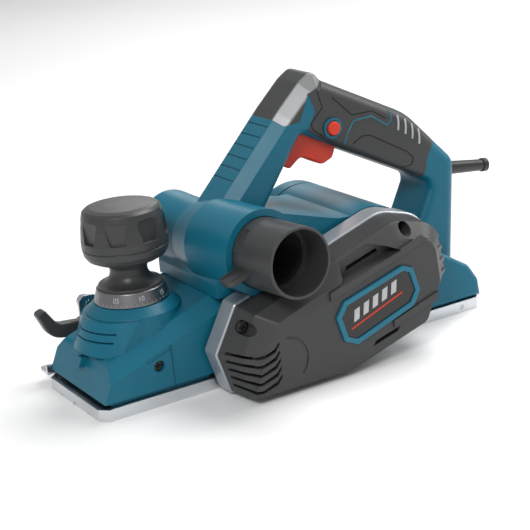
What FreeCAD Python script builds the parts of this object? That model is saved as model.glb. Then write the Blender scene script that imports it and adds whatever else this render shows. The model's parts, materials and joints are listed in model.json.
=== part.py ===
import FreeCAD, Part
import math
import os
from FreeCAD import Vector

# Electric hand planer, 82 mm.  Millimetres.
# Frame: toe towards -X, heel towards +X, belt cover on the -Y side, +Z up.
# Origin: middle of the sole, on the sole plane.

# ------------------------------------------------------------ driving sizes
SOLE_WIDTH = 82.0
SOLE_LENGTH = 288.3
SOLE_THICK = 7.6
SHOE_FLOOR = 4.0
SHOE_RIM = 3.0
CORNER_CUT = 5.5
HOLE_FLOOR = 5.0          # bottom of the screw and guide holes in the shoe

WALL = 2.6                # plastic shells
SKIN = 2.4                # soft grip over the handle core
GAP = 0.4                 # between pieces that move past each other
RUN = 0.05                # radial clearance of a running fit
SEAT = 0.02               # radial clearance of a part pressed in a bore

DRUM_X = -38.0
CUT_RADIUS = 23.0         # circle swept by the blade edges
DRUM_RADIUS = 21.6
BLADE_THICK = 1.2
BLADE_DEEP = 5.6
BLADE_COUNT = 2
DRUM_SHAFT_R = 5.0
CHAMBER_RADIUS = 26.0
CHAMBER_WALL = 3.0
BRIDGE_HALF = 34.4        # half width of the bridge that carries the toe housing
BRIDGE_NOSE = 24.5        # its half width under the dial

MOTOR_X = 57.0
MOTOR_Z = 57.0
MOTOR_SHELL_R = 33.5
STATOR_R = 28.0
ROTOR_R = 16.0
MOTOR_SHAFT_R = 4.0

DRUM_PULLEY_R = 12.6
MOTOR_PULLEY_R = 9.45
BELT_THICK = 2.6
BELT_WIDTH = 10.0

KNOB_X = -96.4
DIAL_Z = 59.4
DIAL_R = 23.75
KNOB_R = 27.1
KNOB_TOP = 116.8
DEPTH_MAX = 3.0
SCREW_R = 5.0

OUTLET_POINT = Vector(-33.9, -41.0, 84.6)   # where the outlet axis crosses the near side
OUTLET_YAW = 4.3                            # degrees, mouth turned towards the heel
OUTLET_RISE = 2.0                           # degrees, mouth turned up
OUTLET_REACH = 56.3                         # from the near side to the mouth
TUBE_R = 22.0
TUBE_WALL = 1.8
TUBE_THROAT_R = 17.6
COLLAR_WALL = 4.6
COLLAR_REACH = 17.0
COLLAR_R = TUBE_R + COLLAR_WALL + GAP
FAR_DUCT_R = 22.4
FAR_DUCT_END = Vector(-43.0, 53.0, 86.0)
DUCT_BEND = 52.0            # from the outlet to the bend of the duct

HANDLE_HALF = 20.0
HANDLE_ROUND = 9.0
OPENING_ROUND = 6.0
POST_BEVEL = 7.4          # flat bevel along the front of the post and over the cap
TRIM_THICK = 0.7

RIM_Y0 = -44.0            # belt case: back of the silver rim
RIM_Y1 = -58.0            # front of the silver rim
COVER_EDGE_Y = -75.0
COVER_FACE_Y = -84.0

SLEEVE_LENGTH = 41.0
SLEEVE_BORE_R = 3.4

# handle, side view: (x, z) of the corners of its front and cap
POST_FOOT = (-50.0, 92.7)
POST_HEAD = (13.0, 157.2)
CAP_FRONT = (30.0, 172.8)
CAP_TOP = (40.5, 179.2)
CAP_BACK = (46.5, 171.7)
BEVEL_PATH = [POST_FOOT, POST_HEAD, CAP_FRONT, CAP_TOP, CAP_BACK]

# screws, as (x, z), the housing ones with the y of their heads
COVER_SCREWS = [(-57.0, 45.8), (58.0, 83.2), (75.0, 24.5)]
TOE_SCREWS = [(-102.4, 25.7)]
HOUSING_SCREWS = [(-6.0, 20.0, 116.5), (130.5, 20.0, 78.0), (127.0, 20.0, 50.0)]

GUIDE_HOLE_X = 20.0       # hole for the parallel guide in the side of the base
GUIDE_HOLE_Z = 3.8
GUIDE_HOLE_R = 2.1
GUIDE_HOLE_DEEP = 14.0
FOOT_X = 126.0            # hinge of the rest foot
FOOT_Y = -31.0
FOOT_Z = 3.8
FOOT_REACH = 21.0

MOTOR_CAP_Y = 44.0
MOTOR_END_Y = 61.0
BLADE_ANGLE = 30.0
PULLEY_Y0 = -64.5
TUBE_START = 4.0          # gap between the end of the tube and the floor of its socket

LOCK_X = 48.3             # lock-on button
LOCK_Z = 140.9
LOCK_R = 4.6
TRIGGER_ANGLE = 30.0      # degrees, pull direction off the vertical
TRIGGER_TRAVEL = 5.0
TRIGGER_HALF = 8.0

STOP_X = -109.0           # rebate stop on the far side
STOP_THICK = 2.0
LEVER_Z = 28.5
GRIP_Z = 47.0

HALF_W = SOLE_WIDTH / 2.0
TOE_X = -SOLE_LENGTH / 2.0
HEEL_X = SOLE_LENGTH / 2.0
DRUM_Z = CUT_RADIUS       # blades just touch the sole plane
BIG = 400.0

YAW = math.radians(OUTLET_YAW)
RISE = math.radians(OUTLET_RISE)
DRUM_NEAR_Y = -HALF_W + 0.4
DRUM_FAR_Y = HALF_W - 8.4
PULLEY_Y1 = PULLEY_Y0 + BELT_WIDTH + 1.0
STOP_Y0 = HALF_W + GAP
TRIGGER_DIR = Vector(math.sin(math.radians(TRIGGER_ANGLE)), 0, math.cos(math.radians(TRIGGER_ANGLE)))
OUTLET_DIR = Vector(math.sin(YAW) * math.cos(RISE), -math.cos(YAW) * math.cos(RISE), math.sin(RISE))


# ------------------------------------------------------------ small helpers
def box(x0, x1, y0, y1, z0, z1):
    return Part.makeBox(x1 - x0, y1 - y0, z1 - z0, Vector(x0, y0, z0))


def rod(start, end, radius):
    line = end.sub(start)
    return Part.makeCylinder(radius, line.Length, start, line)


def cone(start, end, radius_start, radius_end):
    line = end.sub(start)
    return Part.makeCone(radius_start, radius_end, line.Length, start, line)


def along_y(x, z, y0, y1, radius):
    return rod(Vector(x, y0, z), Vector(x, y1, z), radius)


def along_z(x, y, z0, z1, radius):
    return rod(Vector(x, y, z0), Vector(x, y, z1), radius)


def ring_y(x, z, y0, y1, outer, inner):
    return along_y(x, z, y0, y1, outer).cut(along_y(x, z, y0 - 1, y1 + 1, inner))


def ring_z(x, y, z0, z1, outer, inner):
    return along_z(x, y, z0, z1, outer).cut(along_z(x, y, z0 - 1, z1 + 1, inner))


def join(*shapes):
    whole = shapes[0]
    if len(shapes) > 1:
        whole = whole.fuse(list(shapes[1:]))
    return whole.removeSplitter()


def group(shapes):
    return Part.makeCompound(list(shapes))


def at_y(y):
    return lambda x, z: Vector(x, y, z)


def at_z(z):
    return lambda x, y: Vector(x, y, z)


def rounded_wire(corners, place):
    """Closed wire through (a, b, radius) corners; a radius of 0 keeps the corner sharp."""
    count = len(corners)
    cuts = []
    for i, (a, b, radius) in enumerate(corners):
        here = Vector(a, b, 0)
        back = Vector(corners[i - 1][0], corners[i - 1][1], 0).sub(here)
        ahead = Vector(corners[(i + 1) % count][0], corners[(i + 1) % count][1], 0).sub(here)
        back.normalize()
        ahead.normalize()
        if radius <= 0:
            cuts.append((here, None, here))
            continue
        half = back.getAngle(ahead) / 2.0
        reach = radius / math.tan(half)
        middle = back.add(ahead)
        middle.normalize()
        crown = here.add(middle.multiply(radius / math.sin(half) - radius))
        cuts.append((here.add(back.multiply(reach)), crown, here.add(ahead.multiply(reach))))
    edges = []
    for i, (start, crown, end) in enumerate(cuts):
        if crown is not None:
            points = [place(p.x, p.y) for p in (start, crown, end)]
            edges.append(Part.Arc(*points).toShape())
        after = cuts[(i + 1) % count][0]
        if after.sub(end).Length > 1e-6:
            edges.append(Part.LineSegment(place(end.x, end.y), place(after.x, after.y)).toShape())
    return Part.Wire(edges)


def inset(corners, distance):
    """Corners, listed counter-clockwise, moved inwards by a distance."""
    count = len(corners)
    moved = []
    for i, (a, b, radius) in enumerate(corners):
        a0, b0, _ = corners[i - 1]
        a1, b1, _ = corners[(i + 1) % count]
        d0 = Vector(a - a0, b - b0, 0).normalize()
        d1 = Vector(a1 - a, b1 - b, 0).normalize()
        n0 = Vector(-d0.y, d0.x, 0)
        n1 = Vector(-d1.y, d1.x, 0)
        turn = d0.x * d1.y - d0.y * d1.x
        share = 1.0 + n0.dot(n1)
        shift = n0.add(n1).multiply(distance / share)
        if radius > 0:
            radius = max(radius - distance, 0.3) if turn > 0 else radius + distance
        moved.append((a + shift.x, b + shift.y, radius))
    return moved


def slab_y(corners, y0, y1):
    face = Part.Face(rounded_wire(corners, at_y(y0)))
    return face.extrude(Vector(0, y1 - y0, 0))


def slab_z(corners, z0, z1):
    face = Part.Face(rounded_wire(corners, at_z(z0)))
    return face.extrude(Vector(0, 0, z1 - z0))


def rim_edges(shape, y):
    """Edges that lie wholly in the plane of a given y."""
    found = []
    for edge in shape.Edges:
        limits = edge.BoundBox
        if abs(limits.YMin - y) < 1e-4 and abs(limits.YMax - y) < 1e-4:
            found.append(edge)
    return found


def soften(shape, radius, planes):
    edges = []
    for y in planes:
        edges += rim_edges(shape, y)
    return shape.makeFillet(radius, edges)


def bevel(shape, size, planes):
    edges = []
    for y in planes:
        edges += rim_edges(shape, y)
    return shape.makeChamfer(size, edges)


def revolve_z(profile, x, y):
    """Solid of revolution about the vertical through (x, y); profile holds (radius, z)."""
    points = [Vector(x + r, y, z) for r, z in profile]
    points.append(points[0])
    face = Part.Face(Part.makePolygon(points))
    return face.revolve(Vector(x, y, 0), Vector(0, 0, 1), 360)


def outlet_at(distance):
    """Point on the outlet axis, measured outwards from the near side."""
    return OUTLET_POINT.add(Vector(OUTLET_DIR).multiply(distance))


def outlet_rod(near, far, radius):
    return rod(outlet_at(near), outlet_at(far), radius)


def save(name, shape):
    shape.exportStep("parts/" + name + ".step")


# ------------------------------------------------------------ outlines
def belt_case_outline():
    """Outline of the silver rim in side view, as (x, z, corner radius)."""
    return [
        (-64.6, 1.6, 3.0),
        (8.0, 1.6, 30.0),
        (73.0, 20.0, 8.0),
        (93.5, 47.0, 14.0),
        (88.5, 82.0, 24.0),
        (54.5, 92.0, 26.0),
        (-56.0, 57.6, 3.0),
        (-72.5, 29.0, 3.0),
    ]


def handle_outline():
    return [
        (POST_FOOT[0], 60.0, 0),
        (138.5, 24.0, 0),
        (144.5, 86.0, 5.0),
        (146.0, 99.5, 12.0),
        (110.0, 138.0, 50.0),
        (CAP_BACK[0], CAP_BACK[1], 5.0),
        (CAP_TOP[0], CAP_TOP[1], 5.0),
        (CAP_FRONT[0], CAP_FRONT[1], 16.0),
        (POST_HEAD[0], POST_HEAD[1], 60.0),
        (POST_FOOT[0], POST_FOOT[1], 0),
    ]


def opening_outline():
    return [
        (-16.0, 84.0, 0),
        (26.0, 60.0, 0),
        (106.0, 52.0, 0),
        (125.0, 88.5, 7.0),
        (56.0, 125.0, 14.0),
        (26.0, 141.5, 5.0),
    ]


def heel_outline():
    return [
        (40.0, SOLE_THICK + 0.3, 0),
        (144.0, SOLE_THICK + 0.3, 0),
        (142.6, 20.0, 6.0),
        (135.5, 31.0, 9.0),
        (112.0, 46.0, 20.0),
        (84.0, 62.0, 20.0),
        (40.0, 62.0, 0),
    ]


def middle_outline():
    return [
        (-58.0, 66.0, 0),
        (-58.0, 50.0, 0),
        (84.0, 50.0, 0),
        (70.0, 86.0, 10.0),
        (34.0, 88.0, 30.0),
        (-14.0, 103.0, 16.0),
        (-44.0, 92.0, 8.0),
    ]


def toe_outline():
    return [
        (TOE_X + 3.2, 11.0, 0),
        (-46.0, 11.0, 0),
        (-46.0, 60.0, 0),
        (-59.0, 57.0, 4.0),
        (-131.5, 31.8, 7.0),
    ]


# ------------------------------------------------------------ belt case
def case_wire(corners, y):
    return rounded_wire(corners, at_y(y))


def case_band(y0, y1, shrink):
    return slab_y(inset(belt_case_outline(), shrink), y0, y1)


def make_cover_rim():
    rim = case_band(RIM_Y0, RIM_Y1, 0.0)
    rim = rim.cut(case_band(RIM_Y0 + 1, RIM_Y1 - 1, WALL + 1.2))
    rim = bevel(rim, 0.8, [RIM_Y1])
    bosses = group([along_y(x, z, RIM_Y0 - 1, RIM_Y1, 4.6) for x, z in COVER_SCREWS])
    bosses = bosses.common(case_band(RIM_Y0 - 1, RIM_Y1, 1.0))
    rim = join(rim, *bosses.Solids)
    for x, z in COVER_SCREWS:
        rim = rim.cut(along_y(x, z, -80, RIM_Y0 - 2, 2.0 + SEAT))
    return rim.cut(outlet_rod(-20, COLLAR_REACH + 2, COLLAR_R + 0.3))


def cover_sections(shrink):
    """The three outlines of the belt cover, from the rim to the front face."""
    base = inset(belt_case_outline(), 1.2 + shrink)
    edge = inset(belt_case_outline(), 2.8 + shrink)
    face = inset(belt_case_outline(), 12.5 + shrink)
    edge[7] = (-62.5 + shrink, 29.0, 3.0)
    edge[6] = (-52.0 + shrink, 54.0 - shrink, 3.0)
    face[0] = (-62.5 + shrink, 4.4 + shrink, 2.0)
    face[1] = (8.0, 4.4 + shrink, 28.0)
    face[2] = (67.0 - shrink, 21.0 + shrink, 6.0)
    face[3] = (79.0 - shrink, 45.0, 8.0)
    face[4] = (76.5 - shrink, 73.0 - shrink, 14.0)
    face[5] = (53.0, 79.0 - shrink, 14.0)
    face[6] = (-42.0 + shrink, 48.4 - shrink, 3.0)
    face[7] = (-52.5 + shrink, 29.0, 3.0)
    return base, edge, face


def cover_body(shrink, y_start, y_face):
    base, edge, face = cover_sections(shrink)
    wires = [case_wire(base, y_start), case_wire(edge, COVER_EDGE_Y), case_wire(face, y_face)]
    return Part.makeLoft(wires, True, True)


def label_outline():
    return [
        (12.9, 20.3, 0),
        (56.7, 34.7, 0),
        (62.2, 43.8, 0),
        (57.8, 59.5, 0),
        (50.1, 62.7, 0),
        (5.4, 50.3, 0),
        (-1.2, 41.1, 0),
        (3.4, 24.6, 0),
    ]


def make_belt_cover():
    cover = cover_body(0.0, RIM_Y1 - 0.1, COVER_FACE_Y)
    cover = cover.cut(cover_body(WALL, RIM_Y1 + 1, COVER_FACE_Y + WALL))
    upper_bar = slab_y([(-4.0, 52.5, 0), (71.0, 75.0, 0), (66.0, 78.5, 0), (-4.0, 58.0, 0)],
                       COVER_FACE_Y + 0.5, COVER_FACE_Y - 1.4)
    lower_bar = slab_y([(41.0, 23.8, 0), (76.0, 34.0, 0), (76.0, 39.0, 0), (41.0, 28.6, 0)],
                       COVER_FACE_Y + 0.5, COVER_FACE_Y - 1.4)
    pillars = []
    for x, z in COVER_SCREWS:
        pillars.append(along_y(x, z, RIM_Y1, COVER_FACE_Y + 1.0, 6.6))
    posts = group(pillars).common(cover_body(0.3, RIM_Y1 - 0.1, COVER_FACE_Y))
    window = [(5.2, 60.5, 0), (50.0, 72.6, 0), (42.0, 76.5, 0), (31.0, 79.5, 0), (9.5, 74.5, 0)]
    backing = slab_y(inset(window, -1.5), -90.0, -71.0).common(cover_body(0.3, RIM_Y1 - 0.1, COVER_FACE_Y))
    cover = join(cover, upper_bar, lower_bar, backing, *posts.Solids)
    for x, z in COVER_SCREWS:
        cover = cover.cut(along_y(x, z, RIM_Y1 + 1, -100, 2.3))
        cover = cover.cut(along_y(x, z, -65.0, -100, 4.3))
    # cooling slots that wrap the lower front of the cover
    for i in range(5):
        low = 8.6 + 5.2 * i
        slot = slab_y([(-74.0, low + 1.4, 0), (-56.0, low - 1.6, 0), (-45.0, low + 1.4, 0), (-42.0, low + 5.4, 0),
                       (-42.0, low + 7.4, 0), (-46.0, low + 3.4, 0), (-56.0, low + 0.2, 0), (-74.0, low + 3.2, 0)],
                      -62.0, -90.0)
        cover = cover.cut(slot)
    # window with its slot, on the upper bevel
    cover = cover.cut(slab_y(window, -76.0, -90.0))
    cover = cover.cut(slab_y([(14.0, 65.4, 0), (39.0, 72.6, 0), (37.0, 75.0, 0), (14.6, 68.6, 0)], -66.0, -90.0))
    # drain slot under the lower bar
    cover = cover.cut(slab_y([(25.0, 15.4, 0), (44.0, 20.4, 0), (46.0, 23.4, 0), (27.0, 18.4, 0)], -72.0, -90.0))
    # curved groove that shows which way the drum turns
    groove = ring_y(DRUM_X, DRUM_Z, COVER_FACE_Y - 1, COVER_FACE_Y + 0.7, 15.6, 14.2)
    cover = cover.cut(groove.common(slab_y([(DRUM_X, DRUM_Z, 0), (DRUM_X + 40, DRUM_Z - 40, 0),
                                            (DRUM_X + 40, DRUM_Z + 40, 0), (DRUM_X + 4, DRUM_Z + 40, 0)],
                                           COVER_FACE_Y - 2, COVER_FACE_Y + 2)))
    # cooling fins at the motor end
    for i in range(4):
        z = 41.0 + 8.0 * i
        cover = cover.cut(box(80.5, 100, -81.0, -68.0, z, z + 5.6).common(
            cover_body(-1.0, RIM_Y1, COVER_FACE_Y).cut(cover_body(1.3, RIM_Y1 + 1, COVER_FACE_Y + 1.3))))
    cover = cover.cut(slab_y(label_outline(), COVER_FACE_Y - 1, COVER_FACE_Y + 1.0))
    cover = cover.cut(outlet_rod(-20, COLLAR_REACH + 0.4, COLLAR_R + 0.3))
    return cover.cut(outlet_rod(-20, OUTLET_REACH + 5, TUBE_R + 2 * GAP))


def make_badge_ring():
    outer = slab_y(inset(label_outline(), 0.15), COVER_FACE_Y + 1.0, COVER_FACE_Y - 1.6)
    return outer.cut(slab_y(inset(label_outline(), 3.4), COVER_FACE_Y + 2, COVER_FACE_Y - 3))


def make_badge_plate():
    return slab_y(inset(label_outline(), 3.45), COVER_FACE_Y + 1.0, COVER_FACE_Y - 0.6)


def screw_y(x, z, y_head, y_tip, head_r, shank_r):
    """Pan-head screw along Y with a cross recess; the head faces -Y when y_tip > y_head."""
    side = 1.0 if y_tip > y_head else -1.0
    head = along_y(x, z, y_head, y_head + side * 2.4, head_r)
    shank = along_y(x, z, y_head + side * 2.0, y_tip, shank_r)
    screw = join(head, shank)
    for wide, tall in ((0.45, head_r * 0.6), (head_r * 0.6, 0.45)):
        low, high = sorted((y_head - side, y_head + side * 1.3))
        screw = screw.cut(box(x - wide, x + wide, low, high, z - tall, z + tall))
    return screw


# ------------------------------------------------------------ aluminium base
def guide_points():
    return [(KNOB_X + 20.0, side * 27.0) for side in (-1, 1)]


def sole_plan(x0, x1, cut_low, cut_high):
    w = HALF_W
    c = CORNER_CUT
    points = []
    if cut_low:
        points += [(x0, -w + c, 0), (x0 + c, -w, 0)]
    else:
        points += [(x0, -w, 0)]
    if cut_high:
        points += [(x1 - c, -w, 0), (x1, -w + c, 0), (x1, w - c, 0), (x1 - c, w, 0)]
    else:
        points += [(x1, -w, 0), (x1, w, 0)]
    if cut_low:
        points += [(x0 + c, w, 0), (x0, w - c, 0)]
    else:
        points += [(x0, w, 0)]
    return points


def make_base_frame():
    lip = DRUM_X + CHAMBER_RADIUS
    sole = slab_z(sole_plan(lip - 3.0, HEEL_X, False, True), 0, SOLE_THICK)
    reach = (RIM_Y0 - 5.5, HALF_W + 3.4)
    arch = ring_y(DRUM_X, DRUM_Z, reach[0] + 5.5, reach[1], CHAMBER_RADIUS + CHAMBER_WALL, CHAMBER_RADIUS)
    arch = arch.cut(box(-BIG, DRUM_X, -BIG, BIG, -BIG, SOLE_THICK + 7.0))
    arch = arch.cut(box(-BIG, BIG, -BIG, BIG, -BIG, 0))
    # chip window in the roof of the drum chamber
    arch = arch.cut(box(DRUM_X - 16, DRUM_X + 16, -34, 34, DRUM_Z + 10, BIG))
    near_web = slab_y([(-62.0, 16.0, 0), (-40.0, 4.4, 0), (6.0, 4.4, 0), (68.0, 22.0, 0), (84.0, 44.0, 10.0),
                       (78.0, 74.0, 16.0), (48.0, 83.0, 16.0), (-54.0, 50.0, 3.0)], RIM_Y0 + 0.2, -HALF_W - 0.3)
    far_web = slab_y([(-62.0, 16.0, 0), (-54.0, 9.5, 0), (-22.0, 9.5, 0), (-9.5, 9.5, 0),
                      (-9.5, 34.0, 6.0), (-24.0, 50.5, 6.0), (-52.0, 50.5, 6.0)], HALF_W + 0.3, HALF_W + 3.4)
    near_boss = along_y(DRUM_X, DRUM_Z, RIM_Y0 - 5.0, -HALF_W - 0.3, 17.5)
    motor_boss = along_y(MOTOR_X, MOTOR_Z, RIM_Y0 - 5.0, -HALF_W - 0.3, 15.0)
    far_boss = along_y(DRUM_X, DRUM_Z, HALF_W - 6.5, HALF_W + 3.4, 14.0)
    bridge = slab_z([(-110.0, -BRIDGE_NOSE, 4.0), (-90.0, -BRIDGE_NOSE, 3.0), (-84.0, -BRIDGE_HALF, 3.0),
                     (-58.0, -BRIDGE_HALF, 0), (-58.0, BRIDGE_HALF, 0), (-84.0, BRIDGE_HALF, 3.0),
                     (-90.0, BRIDGE_NOSE, 3.0), (-110.0, BRIDGE_NOSE, 4.0)], 22.0, 29.0)
    posts = [along_z(x, y, 28.0, 33.0, 6.0) for x, y in guide_points()]
    frame = join(sole, arch, near_web, far_web, near_boss, motor_boss, far_boss, bridge, *posts)
    # the drum turns in a clear cylinder between the webs
    frame = frame.cut(along_y(DRUM_X, DRUM_Z, -HALF_W - 0.3, HALF_W - 6.5, CHAMBER_RADIUS))
    hollow = ring_y(DRUM_X, DRUM_Z, HALF_W - 8.0, HALF_W + 0.3, CHAMBER_RADIUS, 14.0)
    frame = frame.cut(hollow)
    frame = frame.cut(along_y(DRUM_X, DRUM_Z, -60, -HALF_W, 14.0 + SEAT))
    frame = frame.cut(along_y(DRUM_X, DRUM_Z, HALF_W - 10, HALF_W + 0.2, 11.0 + SEAT))
    frame = frame.cut(along_y(MOTOR_X, MOTOR_Z, -60, -HALF_W, 11.0 + SEAT))
    frame = frame.cut(along_z(KNOB_X, 0, 20, 34, SCREW_R + 0.3))
    for x, z in TOE_SCREWS:
        for side in (-1, 1):
            frame = frame.cut(along_y(x, z, side * 14.0, side * 40.0, 1.9 + SEAT))
    for x, y in guide_points():
        frame = frame.cut(along_z(x, y, 20, 32.5, 4.0 + SEAT))
    # threaded holes in the side of the sole for a parallel guide
    frame = frame.cut(along_y(GUIDE_HOLE_X, GUIDE_HOLE_Z, HALF_W - GUIDE_HOLE_DEEP, HALF_W + 1, GUIDE_HOLE_R))
    # slot and pin hole for the parking foot
    frame = frame.cut(box(FOOT_X - FOOT_REACH - 2.0, FOOT_X + 4.5, FOOT_Y - 4.0, FOOT_Y + 4.0, -1, SOLE_THICK + 1))
    return frame.cut(along_y(FOOT_X, FOOT_Z, -HALF_W - 1, FOOT_Y + 12.0, 1.6 + SEAT))


def make_front_shoe():
    rear = DRUM_X - CHAMBER_RADIUS + 1.5
    tray = slab_z(sole_plan(TOE_X, rear, True, False), 0, SOLE_THICK)
    well = [(TOE_X + SHOE_RIM, -HALF_W + SHOE_RIM, 3.0), (rear - 4.0, -HALF_W + SHOE_RIM, 0),
            (rear - 4.0, HALF_W - SHOE_RIM, 0), (TOE_X + SHOE_RIM, HALF_W - SHOE_RIM, 3.0)]
    tray = tray.cut(slab_z(well, SHOE_FLOOR, SOLE_THICK + 1))
    boss = along_z(KNOB_X, 0, SHOE_FLOOR - 1, 18.5, 10.0)
    guides = [along_z(x, y, SHOE_FLOOR - 1, 18.5, 7.0) for x, y in guide_points()]
    ribs = [box(TOE_X + 20, rear - 5, y - 1.0, y + 1.0, SHOE_FLOOR - 1, SOLE_THICK - 0.6) for y in (-14.0, 14.0)]
    shoe = join(tray, boss, *guides, *ribs)
    shoe = shoe.cut(along_z(KNOB_X, 0, HOLE_FLOOR, 30, SCREW_R + RUN))
    for x, y in guide_points():
        shoe = shoe.cut(along_z(x, y, HOLE_FLOOR, 30, 4.0 + RUN))
    # V grooves for chamfering edges
    for y, deep in ((-20.0, 1.6), (0.0, 2.4), (20.0, 1.6)):
        groove = Part.Face(Part.makePolygon([Vector(TOE_X - 1, y - deep, 0), Vector(TOE_X - 1, y, deep),
                                             Vector(TOE_X - 1, y + deep, 0), Vector(TOE_X - 1, y - deep, 0)]))
        shoe = shoe.cut(groove.extrude(Vector(SOLE_LENGTH, 0, 0)))
    return shoe


def make_guide_pins():
    low = HOLE_FLOOR + DEPTH_MAX + GAP
    return group([along_z(x, y, low, 32.0, 4.0) for x, y in guide_points()])


# ------------------------------------------------------------ toe housing
def toe_block(shrink):
    corners = inset(toe_outline(), shrink)
    half = HALF_W - shrink
    block = slab_y(corners, -half, half)
    # long bevels along both top edges, broad on the near side and narrower on the far side
    slope = (57.0 - 31.8) / (131.5 - 59.0)
    for side, width, drop in ((-1, 11.5, 8.0), (1, 7.0, 6.0)):
        top = []
        for x in (TOE_X - 10, -30.0):
            z = 31.8 + slope * (x + 131.5) - shrink
            y_edge = side * (half + 0.01)
            tri = [Vector(x, y_edge, z - drop), Vector(x, y_edge + side * 5, z - drop),
                   Vector(x, y_edge + side * 5, z + 12), Vector(x, y_edge - side * width, z + 12),
                   Vector(x, y_edge - side * width, z)]
            top.append(Part.makePolygon(tri + [tri[0]]))
        block = block.cut(Part.makeLoft(top, True, True))
    for side in (-1, 1):
        corner = slab_z([(TOE_X - 5, side * (half - 7.0), 0), (TOE_X + 10.5, side * (half + 5.0), 0),
                         (TOE_X - 5, side * (half + 5.0), 0)], 0, 60)
        block = block.cut(corner)
    return block


def toe_collar(shrink):
    """Flared seat of the dial, with a nose that runs forwards and down."""
    top = DIAL_Z - 0.5
    rings = [
        cone(Vector(KNOB_X, 0, 54.0), Vector(KNOB_X, 0, top), 30.0 - shrink, DIAL_R + 0.6 - shrink),
        cone(Vector(KNOB_X, 0, 34.0), Vector(KNOB_X, 0, 54.0), 31.5 - shrink, 30.0 - shrink),
    ]
    flare = cone(Vector(KNOB_X - 3.0, 0, 30.0), Vector(KNOB_X - 1.0, 0, 53.0), 37.5 - shrink, 30.5 - shrink)
    front = box(-BIG, KNOB_X + 6.0, -29.5 + shrink, 29.5 - shrink, 30.0, 53.0)
    return join(rings[0], rings[1], flare.common(front))


def make_toe_housing():
    outer = join(toe_block(0.0), toe_collar(0.0))
    skirt = toe_block(3.4).translated(Vector(0, 0, -3.4 - 3.2))
    skirt = skirt.common(box(-BIG, -67.5, -BIG, BIG, SOLE_THICK + 0.2, 12))
    pointer = slab_y([(-139.6, 24.0, 0), (-131.0, 24.0, 0), (-131.0, 30.0, 0), (-136.8, 30.0, 0)], -3.0, 3.0)
    outer = join(outer, skirt, pointer)
    inner = toe_block(WALL + 3.4).translated(Vector(0, 0, -3.0))
    inner = join(inner, inner.translated(Vector(0, 0, -7.0)))
    well = cone(Vector(KNOB_X, 0, 20.0), Vector(KNOB_X, 0, DIAL_Z - 4.0), 28.0, DIAL_R - 4.0)
    shell = outer.cut(join(inner, well))
    shell = shell.cut(along_z(KNOB_X, 0, 10, 80, 8.0))
    # two shallow lines around the front of the collar
    for z, radius in ((46.0, 31.4), (41.0, 32.9)):
        line = ring_z(KNOB_X - 2.0, 0, z, z + 1.0, 44.0, radius)
        shell = shell.cut(line.common(box(-BIG, KNOB_X - 2, -24.0, 24.0, 0, BIG)))
    # seam and step on both sides, ahead of the drum
    for side in (-1, 1):
        low, high = sorted((side * (HALF_W - 0.6), side * (HALF_W + 2)))
        shell = shell.cut(box(-93.6, -92.8, low, high, 9.0, 40.0))
        step = slab_y([(-112.6, 32.2, 0), (-109.5, 29.3, 0), (-94.2, 34.2, 0), (-93.2, 39.6, 0)], low, high)
        shell = shell.cut(step)
    # drum, stop stud and screws
    shell = shell.cut(along_y(STOP_X, LEVER_Z, HALF_W - 9.0, HALF_W + 2, 2.9 + SEAT))
    shell = shell.cut(along_y(DRUM_X, DRUM_Z, -60, 60, CHAMBER_RADIUS + CHAMBER_WALL + 0.3))
    for x, z in TOE_SCREWS:
        for side in (-1, 1):
            shell = shell.cut(along_y(x, z, side * (HALF_W - 4.8), side * (HALF_W + 2), 3.6))
            shell = shell.cut(along_y(x, z, side * 20.0, side * (HALF_W + 2), 2.1))
    return shell


# ------------------------------------------------------------ main housing
def edge_wedge(start, end, side, shrink, leg):
    """Prism that bevels the outer edge of the handle between two (x, z) points of its outline."""
    run = Vector(end[0] - start[0], 0, end[1] - start[1])
    length = run.Length
    run.normalize()
    inward = Vector(run.z, 0, -run.x)
    across = Vector(0, -side, 0)
    reach = leg - 0.586 * shrink
    corner = Vector(start[0], side * HANDLE_HALF, start[1])
    corner = corner.add(Vector(inward).multiply(shrink)).add(Vector(across).multiply(shrink))
    a = corner.add(Vector(inward).multiply(reach + 6)).add(Vector(across).multiply(-6))
    b = corner.add(Vector(across).multiply(reach + 6)).add(Vector(inward).multiply(-6))
    c = corner.add(Vector(inward).multiply(-6)).add(Vector(across).multiply(-6))
    face = Part.Face(Part.makePolygon([a, b, c, a]))
    return face.extrude(run.multiply(length))


def handle_bevels(shrink, leg, sides=(-1, 1)):
    """Flat bevels along the front post and over the cap."""
    front = []
    for side in sides:
        for start, end in zip(BEVEL_PATH[:-1], BEVEL_PATH[1:]):
            front.append(edge_wedge(start, end, side, shrink, leg))
    return group(front)


def handle_ring(shrink):
    half = HANDLE_HALF - shrink
    outer = slab_y(inset(handle_outline(), shrink), -half, half)
    outer = soften(outer, HANDLE_ROUND - shrink, [-half, half])
    outer = outer.cut(handle_bevels(shrink, POST_BEVEL))
    window = inset(opening_outline(), -shrink)
    ring = outer.cut(slab_y(window, -BIG, BIG))
    # round the edges of the hand opening, above the motor
    edges = []
    for y in (-half, half):
        line = rounded_wire(window, at_y(y))
        for edge in rim_edges(ring, y):
            middle = edge.valueAt((edge.FirstParameter + edge.LastParameter) / 2.0)
            on_line = line.distToShape(Part.Vertex(middle))[0] < 1e-3
            if on_line and edge.BoundBox.ZMax > MOTOR_Z + 29.0:
                edges.append(edge)
    return ring.makeFillet(OPENING_ROUND - shrink, edges)


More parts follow.
